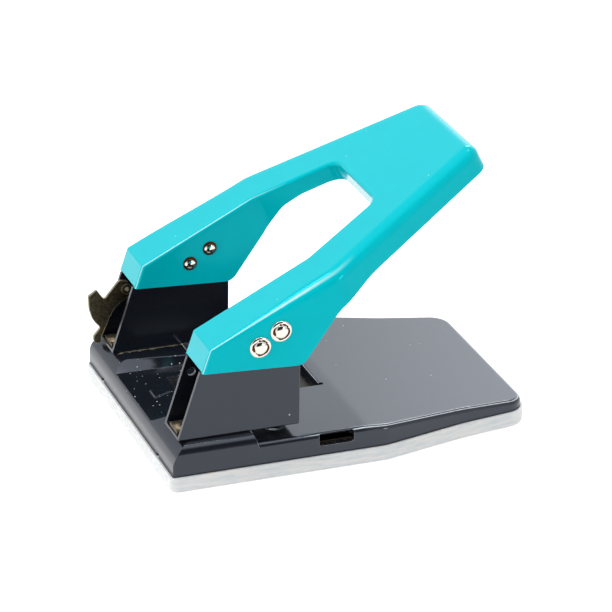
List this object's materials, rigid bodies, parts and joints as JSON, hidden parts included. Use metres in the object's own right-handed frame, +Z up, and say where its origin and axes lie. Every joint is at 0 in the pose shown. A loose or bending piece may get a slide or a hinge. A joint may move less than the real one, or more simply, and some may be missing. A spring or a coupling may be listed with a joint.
{
  "type": "hand two-hole paper punch",
  "caption": "Desk punch with a forked pressed-steel lever on channel brackets, sprung punches, a sliding paper gauge, a folding latch and a soft chip tray.",
  "frame": {"origin": "middle of the underside of the tray, at the level of the table it stands on", "axes": "+Z up, -Y towards the front where the paper goes in, +X the side with the gauge tab and the latch"},
  "size_m": [0.1066, 0.1488, 0.1096],
  "materials": {
    "black_enamel": "gloss",
    "turquoise_enamel": "gloss",
    "soft_plastic": "translucent",
    "nickel": "polished",
    "plated_steel": "plated",
    "plain_steel": "satin",
    "spring_steel": "bright",
    "yellow_zinc": "yellow passivated",
    "dull_brass": "darkened"
  },
  "bodies": {
    "base": {"base_plate": "black_enamel", "bracket_left": "black_enamel", "bracket_right": "black_enamel", "guide_left": "yellow_zinc", "guide_right": "yellow_zinc", "die_left": "plain_steel", "die_right": "plain_steel", "foot_rivets": "plated_steel", "gauge_bridge": "plain_steel", "latch_rivet": "plain_steel"},
    "lever": {"lever": "turquoise_enamel", "pivot_rivet_left": "nickel", "pivot_rivet_right": "nickel", "drive_rivet_left": "nickel", "drive_rivet_right": "nickel"},
    "punch_left": {"punch_left": "plain_steel", "spring_washer_left": "plain_steel", "return_spring_left": "spring_steel"},
    "punch_right": {"punch_right": "plain_steel", "spring_washer_right": "plain_steel", "return_spring_right": "spring_steel"},
    "latch": {"latch": "dull_brass"},
    "gauge": {"gauge_bar": "plain_steel"},
    "tray": {"chip_tray": "soft_plastic"}
  },
  "joints": [
    {"name": "lever_hinge", "type": "hinge", "parent": "base", "child": "lever", "pos_m": [0, 0.03812, 0.05265], "axis": [1, 0, 0], "range_deg": [0, 36], "stiffness_Nm_per_rad": 0.6, "springref_deg": -28.65},
    {"name": "punch_left_slide", "type": "slide", "parent": "base", "child": "punch_left", "axis": [0, 0, -1], "range_m": [0, 0.0057], "deforming": ["return_spring_left"]},
    {"name": "punch_right_slide", "type": "slide", "parent": "base", "child": "punch_right", "axis": [0, 0, -1], "range_m": [0, 0.0057], "deforming": ["return_spring_right"]},
    {"name": "latch_hinge", "type": "hinge", "parent": "base", "child": "latch", "pos_m": [0.046, 0.05892, 0.0385], "axis": [1, 0, 0], "range_deg": [0, 80]},
    {"name": "gauge_slide", "type": "slide", "parent": "base", "child": "gauge", "axis": [1, 0, 0], "range_m": [0, 0.09605]},
    {"name": "tray_release", "type": "slide", "parent": "base", "child": "tray", "axis": [0, 0, -1], "range_m": [0, 0.03]}
  ],
  "couplings": [
    {"joint": "punch_left_slide", "follows": "lever_hinge", "m_per_rad": 0.009067},
    {"joint": "punch_right_slide", "follows": "lever_hinge", "m_per_rad": 0.009067}
  ]
}
